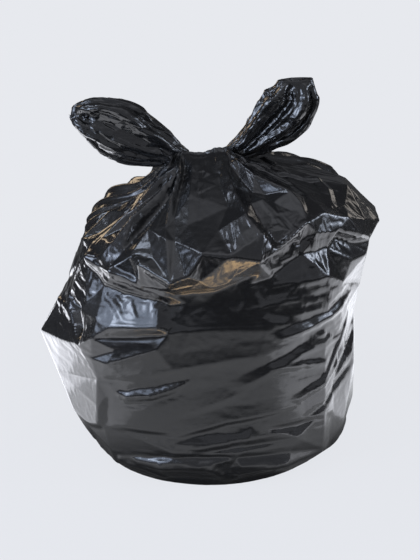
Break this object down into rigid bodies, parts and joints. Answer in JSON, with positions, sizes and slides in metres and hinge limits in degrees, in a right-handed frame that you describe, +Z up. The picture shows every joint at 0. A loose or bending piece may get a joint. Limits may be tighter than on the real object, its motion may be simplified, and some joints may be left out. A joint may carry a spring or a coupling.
{
  "type": "full refuse sack",
  "caption": "Full black polythene refuse sack on its base, closed by a knot in its own mouth, with bunched film ears on either side of the knot.",
  "frame": {"origin": "on the floor under the middle of the sack's bounding box", "axes": "+Z up from the floor to the tips of the ears; the front, with the low lip of the billow, looks along -Y; +X is on the right as seen from the front"},
  "size_m": [0.512, 0.4384, 0.5661],
  "materials": {
    "black_film": "glossy thin film with sharp creases"
  },
  "bodies": {
    "root": {"bin_bag": "black_film"}
  },
  "joints": []
}
